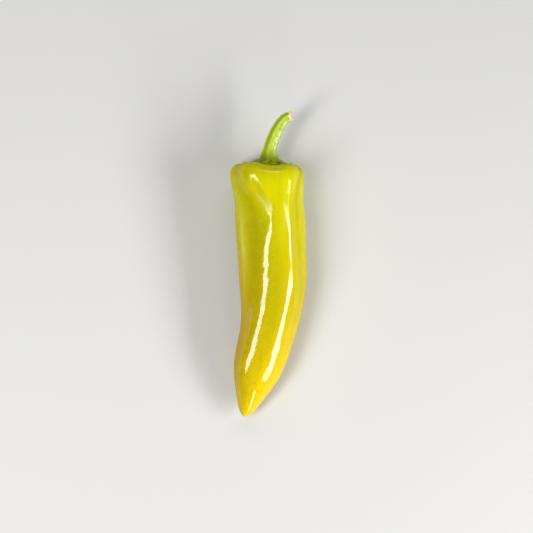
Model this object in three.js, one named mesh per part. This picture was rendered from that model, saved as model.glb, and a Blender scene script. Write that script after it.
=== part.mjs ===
// A hot banana pepper lying on its side: the pod, the calyx on its crown, and the stem.
//
// Frame: millimetres, +Z up from the surface that it lies on, +Y along the pod towards the
// stem, +X across it, and the origin under the middle of the whole pepper.
//
// The pod and the calyx share one skin: a profile carried round a bent spine, with grooves
// between the lobes and a few dents. A place on the skin is an arc, which is the distance
// from the middle of the crown along the profile, and an angle round the spine, where 0
// faces +X, 90 faces up and 270 faces the surface that the pepper lies on.

import * as THREE from 'three';
import { ParametricGeometry } from 'three/addons/geometries/ParametricGeometry.js';

// ---- Pod ------------------------------------------------------------------------------

const SHOULDER_Y = 59.4; // y of the shoulders; places down the pod are measured from here
const STATION = 25; // spacing down the pod of the values in the lists below
const SPINE_X = [-1.1, 0.7, 2.1, 3.5, 0.6, -7.3, -13.7];
const SPINE_Z = [19.75, 19.25, 18.95, 17.9, 15.65, 12.7, 8.9];

// Points that steer the profile, from the middle of the crown over the shoulder to the tip:
// distance down from the shoulders, half width and half depth.
const PROFILE = [
  [3.4, 0, 0],
  [3.3, 4.5, 4.5],
  [2.9, 9, 8.8],
  [1.8, 12.4, 12],
  [0.2, 15.6, 15.2],
  [1, 19.8, 18.6],
  [6, 22.6, 20.6],
  [14, 21.1, 20.4],
  [24, 20, 20],
  [36, 21.3, 19.6],
  [50, 20.2, 19.2],
  [64, 20.5, 18.6],
  [77, 19.4, 17.8],
  [90, 17.6, 16.6],
  [102, 16.1, 15.2],
  [114, 15.7, 14.2],
  [125, 14.3, 12.8],
  [135, 10.3, 9.8],
  [143, 6.9, 6.6],
  [149.4, 3.9, 3.8],
  [152.4, 0, 0],
];

// The grooves between the three lobes, and the soft ridges between the grooves: angle and
// height at each station, half width in degrees.
const FOLDS = [
  {
    angles: [160, 120, 121, 129, 146, 158, 165],
    heights: [-1.4, -1.4, -1.1, -0.9, -0.5, -0.15, 0],
    width: 13,
  },
  {
    angles: [8, 50, 44, 24, 36, 33, 36],
    heights: [-1.6, -1.1, -0.9, -0.8, -0.45, -0.15, 0],
    width: 9,
  },
  {
    angles: [268, 266, 264, 262, 262, 262, 262],
    heights: [-2.4, -1.8, -1.2, -0.6, -0.25, 0, 0],
    width: 15,
  },
  {
    angles: [122, 56, 112, 86, 120, 127, 138],
    heights: [0.6, 0.8, 0.55, 0.7, 0.5, 0.5, 0.5],
    width: 17,
  },
  {
    angles: [56, 44, 60, 66, 77, 78, 90],
    heights: [0.5, 0.8, 0.6, 0.25, 0.4, 0.5, 0.3],
    width: 12,
  },
];
const FOLD_FROM = 7; // the folds start at this radius on the crown,
const FOLD_FULL = 15; // and are at their full height from this one

// Soft dents and swellings: place, half length along and across, turn in degrees, height.
const SWELLINGS = [
  { arc: 50, angle: 109, along: 17, across: 7, turn: 0, height: -0.8 }, // facet on the left
  { arc: 18, angle: -4, along: 7, across: 13, turn: 0, height: -2 }, // right shoulder
  { arc: 19, angle: 71, along: 5.5, across: 8, turn: 0, height: -1.7 }, // front of the crown
  { arc: 24, angle: 119, along: 8.5, across: 7, turn: 0, height: 1.2 }, // beside that dent
  { arc: 30, angle: 128, along: 9, across: 4.5, turn: 0, height: 0.4 }, // softens the groove
  { arc: 34.5, angle: 97, along: 9, across: 2.6, turn: 28, height: 0.9 }, // ridge aslant
  { arc: 60, angle: 84, along: 9, across: 4.5, turn: 0, height: 0.5 }, // below that ridge
];

const CROWN_PITCH = 5; // degrees that the crown leans up,
const CROWN_YAW = 2; // and to the +X side
const CROWN_LEAN_FADE = 18; // distance down the pod over which the lean dies away
const CROWN_SHIFT = 1.3; // the middle of the crown sits this much to the +X side
const CROWN_SHIFT_FROM = 4; // arc where that shift starts to fade,
const CROWN_SHIFT_TO = 19; // and where it is gone
const SETTLE = 0.25; // how far the soft flesh flattens where it bears on the surface

// ---- Calyx ----------------------------------------------------------------------------

const CALYX_GAP = 0.5; // clear of the pod's skin
const CALYX_RIM = 11.9; // arc of the rim between its teeth
const CALYX_FLAT = 5.7; // arc of the flat middle that the stem grows from
const CALYX_MIDDLE = 4.9; // thickness under the stem
const CALYX_EDGE = 1.1; // thickness at the rim
const CALYX_TIP = 0.5; // thickness at the tip of the longest tooth
const CALYX_SLOPE = 0.8; // under 1 the cap is domed, over 1 it is hollow
const TEETH = [
  { angle: 7, reach: 4.2, width: 7, rise: 2.1 },
  { angle: 24, reach: 1.8, width: 6, rise: 0 },
  { angle: 96, reach: 1.5, width: 6, rise: 1.6 },
  { angle: 144, reach: 1.9, width: 7, rise: 0 },
  { angle: 179, reach: 3.2, width: 7, rise: 1.2 },
  { angle: 237, reach: 2.6, width: 8, rise: 0 },
  { angle: 300, reach: 2.8, width: 8, rise: 0.3 },
];
const TOOTH_MAX = 4.2; // the reach of the longest tooth

// ---- Stem -----------------------------------------------------------------------------

// Points that steer the stem's middle line, evenly spaced from its base to its torn end,
// with its radius at each.
const STEM_PATH = [
  [0.7, 62.1, 20.85],
  [0.9, 66.7, 21.4],
  [2.4, 71.3, 22],
  [4.2, 75.9, 22.5],
  [6.7, 80.5, 22.9],
  [9.7, 84.6, 23],
  [12.9, 86.3, 22.9],
];
const STEM_RADIUS = [5.3, 3.8, 3.65, 3.65, 3.35, 3.05, 2.8];
const STEM_RIBS = 6;
const STEM_RIB_HEIGHT = 0.2;
const STEM_RIB_TURN = 40; // degrees from +X to the first rib
const STEM_END_SLANT = 0.25; // how much the torn end slopes, as rise over radius
const STEM_END_HOLLOW = 0.6; // how far the pith has sunk into the torn end
const STEM_TORN_FROM = 0.82; // part way along the stem from which the rind is stretched
// Strips of rind left standing where the stem tore off, each curled out of line or, below 0,
// in over the end.
const STRIPS = [
  { angle: 140, reach: 2.6, width: 36, curl: -0.5 },
  { angle: 345, reach: 0.9, width: 30, curl: 0.1 },
  { angle: 255, reach: 0.5, width: 20, curl: 0.05 },
];
const STRIP_MAX = 2.2; // no strip stands further past the end than this

// ---- Curves ---------------------------------------------------------------------------

/** The eased step from 0 at `from` to 1 at `to`. */
function ease(value, from, to) {
  const t = THREE.MathUtils.clamp((value - from) / (to - from), 0, 1);
  return t * t * (3 - 2 * t);
}

/** The turn from one angle to another, in degrees from -180 to 180. */
function turnBetween(from, to) {
  return THREE.MathUtils.euclideanModulo(to - from + 180, 360) - 180;
}

/** A bump 1 high at the middle that falls to nothing on both sides. */
function bell(distance, width) {
  return Math.exp(-((distance / width) ** 2));
}

/** The value at `t` of the smooth cubic spline steered by evenly spaced values. It runs
 *  straight on past its ends, or turns back there like a dome when `domed` is true. */
function spline(values, t, domed = false) {
  const last = values.length - 1;
  const start = domed ? values[1] : 2 * values[0] - values[1];
  const end = domed ? values[last - 1] : 2 * values[last] - values[last - 1];
  const all = [start, ...values, end];
  const i = THREE.MathUtils.clamp(Math.floor(t), 0, last - 1);
  const f = THREE.MathUtils.clamp(t - i, 0, 1);
  const beyond = t - i - f;
  const slope = t < 0 ? values[1] - values[0] : values[last] - values[last - 1];
  const blended =
    (all[i] * (1 - f) ** 3 +
      all[i + 1] * (3 * f ** 3 - 6 * f ** 2 + 4) +
      all[i + 2] * (-3 * f ** 3 + 3 * f ** 2 + 3 * f + 1) +
      all[i + 3] * f ** 3) /
    6;
  return blended + beyond * slope;
}

/** The spline through one column of a list of points. */
function column(points, index, t, domed = false) {
  const values = points.map((point) => point[index]);
  return spline(values, t, domed);
}

// ---- The skin -------------------------------------------------------------------------

const PROFILE_STEPS = 1200;

/** The profile as many short steps, each with its distance from the middle of the crown. */
function measureProfile() {
  const steps = [];
  let arc = 0;
  for (let i = 0; i <= PROFILE_STEPS; i++) {
    const t = (i / PROFILE_STEPS) * (PROFILE.length - 1);
    const step = {
      down: column(PROFILE, 0, t, true),
      width: column(PROFILE, 1, t),
      depth: column(PROFILE, 2, t),
    };
    if (i > 0) {
      const before = steps[i - 1];
      arc += Math.hypot(step.down - before.down, step.width - before.width);
    }
    steps.push({ ...step, arc });
  }
  return steps;
}

const profileSteps = measureProfile();
const PROFILE_ARC = profileSteps[PROFILE_STEPS].arc;

/** The profile at one arc, with the direction that faces out of the pod there, which on
 *  the spine itself is straight along it. */
function profileAt(arc) {
  let low = 0;
  let high = PROFILE_STEPS;
  while (high - low > 1) {
    const middle = (low + high) >> 1;
    if (profileSteps[middle].arc <= arc) low = middle;
    else high = middle;
  }
  const a = profileSteps[low];
  const b = profileSteps[high];
  const length = b.arc - a.arc;
  const t = (arc - a.arc) / length;
  return {
    down: THREE.MathUtils.lerp(a.down, b.down, t),
    width: THREE.MathUtils.lerp(a.width, b.width, t),
    depth: THREE.MathUtils.lerp(a.depth, b.depth, t),
    outward: arc > 0 ? (b.down - a.down) / length : 0,
    upward: (b.width - a.width) / length,
  };
}

/** The spine's point at a distance down the pod. */
function spineAt(down) {
  const t = down / STATION;
  return new THREE.Vector3(spline(SPINE_X, t), SHOULDER_Y - down, spline(SPINE_Z, t));
}

/** How far the skin stands above the plain profile. */
function relief(arc, profile, angle) {
  const station = THREE.MathUtils.clamp(profile.down, 0, 150) / STATION;
  const begun = ease(profile.width, FOLD_FROM, FOLD_FULL);
  let height = 0;
  for (const fold of FOLDS) {
    const off = turnBetween(spline(fold.angles, station), angle);
    height += spline(fold.heights, station) * bell(off, fold.width) * begun;
  }
  for (const spot of SWELLINGS) {
    const down = arc - spot.arc;
    const round = THREE.MathUtils.degToRad(turnBetween(spot.angle, angle)) * profile.width;
    const turn = THREE.MathUtils.degToRad(spot.turn);
    const along = down * Math.cos(turn) - round * Math.sin(turn);
    const across = down * Math.sin(turn) + round * Math.cos(turn);
    height += spot.height * bell(along, spot.along) * bell(across, spot.across);
  }
  return height;
}

const LEAN_UP = Math.tan(THREE.MathUtils.degToRad(CROWN_PITCH));
const LEAN_ASIDE = Math.tan(THREE.MathUtils.degToRad(CROWN_YAW));
const UP = new THREE.Vector3(0, 0, 1);

/** The point of the skin at an arc and angle, lifted off it along its profile's normal. */
function skinPoint(arc, angle, lift, target) {
  const profile = profileAt(arc);
  const towardsStem = spineAt(profile.down - 0.5).sub(spineAt(profile.down + 0.5)).normalize();
  const aside = new THREE.Vector3().crossVectors(towardsStem, UP).normalize();
  const upright = new THREE.Vector3().crossVectors(aside, towardsStem);

  const turn = THREE.MathUtils.degToRad(angle);
  const across = profile.width * Math.cos(turn);
  const above = profile.depth * Math.sin(turn);
  const fade = Math.exp(-Math.max(profile.down, 0) / CROWN_LEAN_FADE);
  const lean = fade * (LEAN_UP * above + LEAN_ASIDE * across);
  const height = relief(arc, profile, angle) + lift;

  target.copy(spineAt(profile.down));
  target.addScaledVector(aside, across + height * profile.outward * Math.cos(turn));
  target.addScaledVector(upright, above + height * profile.outward * Math.sin(turn));
  target.addScaledVector(towardsStem, height * profile.upward - lean);
  target.x += CROWN_SHIFT * (1 - ease(arc, CROWN_SHIFT_FROM, CROWN_SHIFT_TO));
  target.z = Math.max(target.z - SETTLE, 0);
}

// ---- The three pieces -----------------------------------------------------------------

/** Part way through a list of marks: which stretch `v` is in and how far along it. */
function stretch(v, marks) {
  const i = marks.findIndex((mark) => v <= mark);
  const start = i > 0 ? marks[i - 1] : 0;
  return { index: i, t: (v - start) / (marks[i] - start) };
}

/** The whole fruit, from the crown to the tip, with shorter steps at both ends. */
function makePod(around = 60, along = 52) {
  const crowding = 0.5;
  const surface = (u, v, target) => {
    const even = v - (crowding * Math.sin(2 * Math.PI * v)) / (2 * Math.PI);
    skinPoint(even * PROFILE_ARC, 360 * u, 0, target);
  };
  return new ParametricGeometry(surface, around, along);
}

/** The arc of the calyx's edge at an angle. */
function calyxEdge(angle) {
  let edge = CALYX_RIM;
  for (const tooth of TEETH) {
    edge += tooth.reach * bell(turnBetween(tooth.angle, angle), tooth.width);
  }
  return edge;
}

/** How far the underside of the calyx stands off the pod's skin. */
function calyxClearance(arc, angle) {
  const out = Math.max(arc - CALYX_RIM, 0) / TOOTH_MAX;
  let clearance = CALYX_GAP;
  for (const tooth of TEETH) {
    clearance += tooth.rise * out * bell(turnBetween(tooth.angle, angle), 2 * tooth.width);
  }
  return clearance;
}

/** The calyx's thickness at an arc: a flat middle, a sloping cap and thin teeth. */
function calyxThickness(arc) {
  if (arc > CALYX_RIM) {
    const out = (arc - CALYX_RIM) / TOOTH_MAX;
    return THREE.MathUtils.lerp(CALYX_EDGE, CALYX_TIP, Math.min(out, 1));
  }
  const slope = Math.max(arc - CALYX_FLAT, 0) / (CALYX_RIM - CALYX_FLAT);
  return CALYX_EDGE + (CALYX_MIDDLE - CALYX_EDGE) * (1 - slope) ** CALYX_SLOPE;
}

/** The green cap: out over its top, down its edge, and back under it to the middle. */
function makeCalyx(around = 84, along = 16) {
  const marks = [9 / 16, 10 / 16, 1];
  const surface = (u, v, target) => {
    const angle = 360 * u;
    const edge = calyxEdge(angle);
    const { index, t } = stretch(v, marks);
    const arc = edge * (index === 0 ? t : index === 1 ? 1 : 1 - t);
    const share = index === 0 ? 1 : index === 1 ? 1 - t : 0;
    skinPoint(arc, angle, calyxClearance(arc, angle) + share * calyxThickness(arc), target);
  };
  return new ParametricGeometry(surface, around, along);
}

/** The stem's middle line at a fraction of its length. */
function stemAxis(t) {
  const place = t * (STEM_PATH.length - 1);
  return new THREE.Vector3(
    column(STEM_PATH, 0, place),
    column(STEM_PATH, 1, place),
    column(STEM_PATH, 2, place),
  );
}

/** How far the torn rind reaches past the end of the stem at an angle. */
function tornReach(angle, radius) {
  let reach = radius * STEM_END_SLANT * Math.cos(THREE.MathUtils.degToRad(angle - 180));
  for (const strip of STRIPS) {
    reach += strip.reach * bell((turnBetween(strip.angle, angle) / strip.width) ** 2, 1);
  }
  return Math.min(reach, STRIP_MAX);
}

/** How far the torn rind leans out of line at an angle, for each millimetre that it stands. */
function tornCurl(angle) {
  let curl = 0;
  for (const strip of STRIPS) {
    curl += strip.curl * bell(turnBetween(strip.angle, angle), strip.width);
  }
  return curl;
}

/** The ribbed stalk: over its torn end, down its side to the base, and under the base. */
function makeStem(around = 42, along = 34) {
  const marks = [5 / 34, 31 / 34, 1];
  const surface = (u, v, target) => {
    const angle = 360 * u;
    const turn = THREE.MathUtils.degToRad(angle);
    const { index, t } = stretch(v, marks);
    const place = index === 0 ? 1 : index === 1 ? 1 - t : 0;
    const spread = index === 0 ? t : index === 1 ? 1 : 1 - t;

    const forward = stemAxis(place + 0.01).sub(stemAxis(place - 0.01)).normalize();
    const aside = new THREE.Vector3().crossVectors(forward, UP).normalize();
    const upright = new THREE.Vector3().crossVectors(aside, forward);
    const rib = Math.cos(STEM_RIBS * (turn - THREE.MathUtils.degToRad(STEM_RIB_TURN)));
    const radius = spline(STEM_RADIUS, place * (STEM_RADIUS.length - 1));
    const torn = ease(place, STEM_TORN_FROM, 1) * tornReach(angle, radius) * spread ** 3;
    const leaning = tornCurl(angle) * Math.max(torn, 0);
    const reachOut = (radius + STEM_RIB_HEIGHT * rib) * spread + leaning;
    const hollow = index === 0 ? STEM_END_HOLLOW * (1 - spread ** 2) : 0;

    target.copy(stemAxis(place));
    target.addScaledVector(aside, reachOut * Math.cos(turn));
    target.addScaledVector(upright, reachOut * Math.sin(turn));
    target.addScaledVector(forward, torn - hollow);
  };
  return new ParametricGeometry(surface, around, along);
}

// ---- The pepper -----------------------------------------------------------------------

const podSkin = new THREE.MeshStandardMaterial({ color: 0xcfc41a, roughness: 0.28, metalness: 0 });
const calyxGreen = new THREE.MeshStandardMaterial({ color: 0x66751c, roughness: 0.55, metalness: 0 });
const stemGreen = new THREE.MeshStandardMaterial({ color: 0x9db52c, roughness: 0.45, metalness: 0 });

/** A named piece of the pepper. */
function piece(name, geometry, material) {
  const mesh = new THREE.Mesh(geometry, material);
  mesh.name = name;
  return mesh;
}

const pepper = new THREE.Group();
pepper.name = 'hot_banana_pepper';
pepper.add(piece('pod', makePod(), podSkin));
pepper.add(piece('calyx', makeCalyx(), calyxGreen));
pepper.add(piece('stem', makeStem(), stemGreen));

// The middle of the whole pepper goes over the origin.
const middle = new THREE.Box3().setFromObject(pepper).getCenter(new THREE.Vector3());
pepper.position.set(-middle.x, -middle.y, 0);

export default pepper;
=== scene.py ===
"""A hot banana pepper lying on its side: its pod, calyx and torn stem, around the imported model.

The axes are the frame's: +Y along the pod towards the stem and +Z up from the floor. The
pod and the calyx share one skin, a profile carried round a bent spine. A place on it is an
arc, the distance from the middle of the crown along the profile, and an angle round the
spine, where 0 faces +X, 90 faces up and 270 faces the floor. Forms are worked out in
millimetres, as they are measured, and become metres when a mesh is made.
"""

import logging
import math
from dataclasses import dataclass, field
from enum import Enum
from typing import Any

import bpy
import numpy as np
from mathutils import Matrix, Vector, noise

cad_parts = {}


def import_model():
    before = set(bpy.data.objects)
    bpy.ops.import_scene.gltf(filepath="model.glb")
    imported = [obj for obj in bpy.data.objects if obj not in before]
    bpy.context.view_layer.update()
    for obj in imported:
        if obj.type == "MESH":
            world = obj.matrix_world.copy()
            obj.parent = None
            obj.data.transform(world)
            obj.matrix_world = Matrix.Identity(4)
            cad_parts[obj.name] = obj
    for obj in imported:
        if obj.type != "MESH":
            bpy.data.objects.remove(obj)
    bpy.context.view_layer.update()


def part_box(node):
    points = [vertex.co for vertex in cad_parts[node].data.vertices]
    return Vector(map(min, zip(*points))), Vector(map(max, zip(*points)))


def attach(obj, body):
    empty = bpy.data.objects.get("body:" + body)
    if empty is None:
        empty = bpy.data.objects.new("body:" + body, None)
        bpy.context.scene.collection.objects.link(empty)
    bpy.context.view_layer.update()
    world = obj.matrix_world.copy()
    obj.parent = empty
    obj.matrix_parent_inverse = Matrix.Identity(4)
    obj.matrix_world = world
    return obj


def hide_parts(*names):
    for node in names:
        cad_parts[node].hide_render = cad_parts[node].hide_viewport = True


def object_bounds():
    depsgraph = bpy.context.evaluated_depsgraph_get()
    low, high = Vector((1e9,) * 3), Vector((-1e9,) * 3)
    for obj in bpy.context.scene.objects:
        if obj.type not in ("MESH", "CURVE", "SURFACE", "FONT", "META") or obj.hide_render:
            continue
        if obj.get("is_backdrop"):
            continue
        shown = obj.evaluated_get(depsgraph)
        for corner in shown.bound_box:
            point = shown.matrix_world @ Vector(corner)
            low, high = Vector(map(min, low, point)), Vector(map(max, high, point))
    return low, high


LOG = logging.getLogger("pepper")
MM = 0.001
BODY = "root"
Colour = tuple[float, float, float]


class Slot(Enum):
    """The record's material slots."""

    POD = "pod_skin"
    CALYX = "calyx_green"
    STEM = "stem_green"


# ---- Curves ---------------------------------------------------------------------------


def ease(value: np.ndarray, start: float, end: float) -> np.ndarray:
    """The eased step from 0 at start to 1 at end."""
    t = np.clip((np.asarray(value, float) - start) / (end - start), 0.0, 1.0)
    return t * t * (3 - 2 * t)


def bell(distance: np.ndarray, width: float) -> np.ndarray:
    """A bump 1 high at the middle that falls to nothing on both sides."""
    return np.exp(-((np.asarray(distance, float) / width) ** 2))


def turn_between(start: np.ndarray, end: np.ndarray) -> np.ndarray:
    """The turn from one angle to another, in degrees from -180 to 180."""
    return np.mod(np.asarray(end, float) - start + 180.0, 360.0) - 180.0


def spline(values: Any, t: np.ndarray, domed: bool = False) -> np.ndarray:
    """The smooth cubic spline steered by evenly spaced values.

    Args:
        values: the values that steer it, one for each whole t.
        t: where to read it; it runs straight on past its ends.
        domed: the spline turns back at its ends like a dome.

    Returns:
        The spline's value at each t.
    """
    steer = np.asarray(values, float)
    t = np.asarray(t, float)
    last = len(steer) - 1
    start = steer[1] if domed else 2 * steer[0] - steer[1]
    end = steer[-2] if domed else 2 * steer[-1] - steer[-2]
    steers = np.concatenate([[start], steer, [end]])
    i = np.clip(np.floor(t).astype(int), 0, last - 1)
    f = np.clip(t - i, 0.0, 1.0)
    slope = np.where(t < 0, steer[1] - steer[0], steer[-1] - steer[-2])
    weights = (
        (1 - f) ** 3,
        3 * f**3 - 6 * f**2 + 4,
        -3 * f**3 + 3 * f**2 + 3 * f + 1,
        f**3,
    )
    blended = sum(w * steers[i + k] for k, w in enumerate(weights)) / 6
    return blended + (t - i - f) * slope


def grain(points: np.ndarray, size: tuple[float, float, float], seed: float) -> np.ndarray:
    """Smooth noise from -1 to 1 at points.

    Args:
        points: places in millimetres, in an array whose last axis is X, Y, Z.
        size: the noise's grain along each axis, in millimetres.
        seed: which noise it is.

    Returns:
        One value for each point.
    """
    flat = points.reshape(-1, 3) / np.array(size) + seed
    values = [noise.noise(Vector(p)) for p in flat]
    return np.array(values).reshape(points.shape[:-1])


# ---- Meshes ---------------------------------------------------------------------------


@dataclass
class RingMesh:
    """Rings of points, closed at both ends by a point, that become one mesh.

    The rings run so that, seen from outside, the next ring lies clockwise of the next
    point on the same ring, and its faces then point outwards.
    """

    name: str
    rings: np.ndarray
    start: np.ndarray
    end: np.ndarray
    values: dict[str, np.ndarray] = field(default_factory=dict)

    def faces(self) -> list[tuple[int, ...]]:
        """The corner numbers of each face: a fan, the bands between rings, and a fan.

        Returns:
            Each face, as a tuple of point numbers.
        """
        rows, cols = self.rings.shape[:2]
        first = 1
        final = first + rows * cols

        def at(row: int, col: int) -> int:
            """The number of a ring's point."""
            return first + row * cols + col % cols

        found: list[tuple[int, ...]] = []
        for j in range(cols):
            found.append((0, at(0, j + 1), at(0, j)))
        for i in range(rows - 1):
            for j in range(cols):
                found.append((at(i, j), at(i, j + 1), at(i + 1, j + 1), at(i + 1, j)))
        for j in range(cols):
            found.append((at(rows - 1, j), at(rows - 1, j + 1), final))
        return found

    def build(self, shift: np.ndarray) -> bpy.types.Object:
        """Makes the object.

        Args:
            shift: how far to move every point, in millimetres.

        Returns:
            The object, at the origin, with its place in its mesh, smooth shaded.
        """
        points = np.vstack([self.start, self.rings.reshape(-1, 3), self.end])
        mesh = bpy.data.meshes.new(self.name)
        mesh.from_pydata(((points + shift) * MM).tolist(), [], self.faces())
        mesh.polygons.foreach_set("use_smooth", [True] * len(mesh.polygons))
        for name, value in self.values.items():
            flat = np.concatenate([[value[0].mean()], value.reshape(-1), [value[-1].mean()]])
            layer = mesh.attributes.new(name, "FLOAT", "POINT")
            layer.data.foreach_set("value", flat.astype(np.float32))
        mesh.validate()
        mesh.update()
        made = bpy.data.objects.new(self.name, mesh)
        bpy.context.scene.collection.objects.link(made)
        return made


# ---- The skin that the pod and the calyx share -------------------------------------------


@dataclass(frozen=True)
class Fold:
    """A groove or ridge down the pod.

    Attributes:
        angles: its angle at each station.
        heights: its height at each station; a groove's is below 0.
        width: its half width in degrees.
    """

    angles: tuple[float, ...]
    heights: tuple[float, ...]
    width: float


@dataclass(frozen=True)
class Swelling:
    """A soft dent or swelling: its place, half lengths, turn in degrees and height."""

    arc: float
    angle: float
    along: float
    across: float
    turn: float
    height: float

    def over(self, arc: np.ndarray, angle: np.ndarray, radius: np.ndarray) -> np.ndarray:
        """Its height at each place, on a skin of that radius.

        Args:
            arc: arcs in millimetres.
            angle: angles in degrees, of the same shape.
            radius: the skin's half width at each place.

        Returns:
            A height in millimetres for each place.
        """
        down = arc - self.arc
        around = np.radians(turn_between(self.angle, angle)) * radius
        c, s = math.cos(math.radians(self.turn)), math.sin(math.radians(self.turn))
        along = down * c - around * s
        across = down * s + around * c
        return self.height * bell(along, self.along) * bell(across, self.across)


@dataclass
class Skin:
    """The outside of the pod, and what the calyx lies on. All sizes are millimetres."""

    shoulder_y: float = 59.4
    station: float = 25.0
    spine_x: tuple[float, ...] = (-1.1, 0.7, 2.1, 3.5, 0.6, -7.3, -13.7)
    spine_z: tuple[float, ...] = (19.75, 19.25, 18.95, 17.9, 15.65, 12.7, 8.9)
    profile: tuple[tuple[float, float, float], ...] = (
        (3.4, 0, 0),
        (3.3, 4.5, 4.5),
        (2.9, 9, 8.8),
        (1.8, 12.4, 12),
        (0.2, 15.6, 15.2),
        (1, 19.8, 18.6),
        (6, 22.6, 20.6),
        (14, 21.1, 20.4),
        (24, 20, 20),
        (36, 21.3, 19.6),
        (50, 20.2, 19.2),
        (64, 20.5, 18.6),
        (77, 19.4, 17.8),
        (90, 17.6, 16.6),
        (102, 16.1, 15.2),
        (114, 15.7, 14.2),
        (125, 14.3, 12.8),
        (135, 10.3, 9.8),
        (143, 6.9, 6.6),
        (149.4, 3.9, 3.8),
        (152.4, 0, 0),
    )
    folds: tuple[Fold, ...] = (
        Fold((160, 120, 121, 129, 146, 158, 165), (-1.4, -1.4, -1.1, -0.9, -0.5, -0.15, 0), 13),
        Fold((8, 50, 44, 24, 36, 33, 36), (-1.6, -1.1, -0.9, -0.8, -0.45, -0.15, 0), 9),
        Fold((268, 266, 264, 262, 262, 262, 262), (-2.4, -1.8, -1.2, -0.6, -0.25, 0, 0), 15),
        Fold((122, 56, 112, 86, 120, 127, 138), (0.6, 0.8, 0.55, 0.7, 0.5, 0.5, 0.5), 17),
        Fold((56, 44, 60, 66, 77, 78, 90), (0.5, 0.8, 0.6, 0.25, 0.4, 0.5, 0.3), 12),
    )
    swellings: tuple[Swelling, ...] = (
        Swelling(50, 109, 17, 7, 0, -0.8),
        Swelling(18, -4, 7, 13, 0, -2),
        Swelling(19, 71, 5.5, 8, 0, -1.7),
        Swelling(24, 119, 8.5, 7, 0, 1.2),
        Swelling(30, 128, 9, 4.5, 0, 0.4),
        Swelling(34.5, 97, 9, 2.6, 28, 0.9),
        Swelling(60, 84, 9, 4.5, 0, 0.5),
    )
    fold_from: float = 7.0
    fold_full: float = 15.0
    fold_end: float = 150.0
    crown_pitch: float = 5.0
    crown_yaw: float = 2.0
    lean_fade: float = 18.0
    crown_shift: float = 1.3
    shift_from: float = 4.0
    shift_to: float = 19.0
    settle: float = 0.25
    steps: int = 1200

    def __post_init__(self) -> None:
        """Measures the profile, so that it can be read by arc."""
        points = np.array(self.profile, float)
        t = np.linspace(0, len(points) - 1, self.steps + 1)
        self._down = spline(points[:, 0], t, domed=True)
        self._width = spline(points[:, 1], t)
        self._depth = spline(points[:, 2], t)
        lengths = np.hypot(np.diff(self._down), np.diff(self._width))
        self._arcs = np.concatenate([[0.0], np.cumsum(lengths)])

    @property
    def length(self) -> float:
        """The whole arc, from the middle of the crown to the tip."""
        return float(self._arcs[-1])

    def radius(self, arc: np.ndarray) -> np.ndarray:
        """The profile's half width at an arc."""
        return np.interp(arc, self._arcs, self._width)

    def down(self, arc: np.ndarray) -> np.ndarray:
        """How far down the pod from its shoulders an arc is."""
        return np.interp(arc, self._arcs, self._down)

    def spine(self, down: np.ndarray) -> np.ndarray:
        """The spine's points at distances down the pod.

        Args:
            down: distances down the pod from its shoulders, in millimetres.

        Returns:
            The points, in an array with a last axis of X, Y, Z.
        """
        t = down / self.station
        x, z = spline(self.spine_x, t), spline(self.spine_z, t)
        return np.stack([x, self.shoulder_y - down, z], -1)

    def straightened(self, arc: np.ndarray, angle: np.ndarray) -> np.ndarray:
        """Places on the pod as if its spine were straight, for noise to be read at.

        Args:
            arc: arcs in millimetres.
            angle: angles in degrees, of the same shape.

        Returns:
            The places, in an array with a last axis of X, Y, Z.
        """
        turn = np.radians(angle)
        radius = self.radius(arc)
        return np.stack([radius * np.cos(turn), -arc, radius * np.sin(turn)], -1)

    def fold_height(self, fold: Fold, arc: np.ndarray, angle: np.ndarray) -> np.ndarray:
        """One groove's or ridge's height at each place.

        Args:
            fold: the groove or ridge.
            arc: arcs in millimetres.
            angle: angles in degrees, of the same shape.

        Returns:
            A height in millimetres for each place.
        """
        at = np.clip(self.down(arc), 0, self.fold_end) / self.station
        begun = ease(self.radius(arc), self.fold_from, self.fold_full)
        off = turn_between(spline(fold.angles, at), angle)
        return spline(fold.heights, at) * bell(off, fold.width) * begun

    def relief(self, arc: np.ndarray, angle: np.ndarray) -> np.ndarray:
        """How far the skin stands above the plain profile.

        Args:
            arc: arcs in millimetres.
            angle: angles in degrees, of the same shape.

        Returns:
            A height in millimetres for each place.
        """
        radius = self.radius(arc)
        height = sum(self.fold_height(fold, arc, angle) for fold in self.folds)
        return height + sum(spot.over(arc, angle, radius) for spot in self.swellings)

    def points(
        self, arc: np.ndarray, angle: np.ndarray, lift: np.ndarray | float = 0.0
    ) -> np.ndarray:
        """The skin's points.

        Args:
            arc: arcs in millimetres.
            angle: angles in degrees, of the same shape.
            lift: how far to stand off the skin, along its profile's own normal.

        Returns:
            The points in millimetres, in an array with a last axis of X, Y, Z.
        """
        down, width = self.down(arc), self.radius(arc)
        depth = np.interp(arc, self._arcs, self._depth)
        step = self.length / self.steps
        outward = (self.down(arc + step) - self.down(arc - step)) / (2 * step)
        upward = (self.radius(arc + step) - self.radius(arc - step)) / (2 * step)
        outward = np.where(arc > 0, outward, 0.0)
        upward = np.where(arc > 0, upward, 1.0)

        stemward = self.spine(down - 0.5) - self.spine(down + 0.5)
        stemward /= np.linalg.norm(stemward, axis=-1, keepdims=True)
        aside = np.cross(stemward, np.array([0.0, 0.0, 1.0]))
        aside /= np.linalg.norm(aside, axis=-1, keepdims=True)
        upright = np.cross(aside, stemward)

        turn = np.radians(angle)
        across, above = width * np.cos(turn), depth * np.sin(turn)
        fade = np.exp(-np.maximum(down, 0) / self.lean_fade)
        pitch, yaw = (math.tan(math.radians(a)) for a in (self.crown_pitch, self.crown_yaw))
        lean = fade * (pitch * above + yaw * across)
        height = self.relief(arc, angle) + lift

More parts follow.
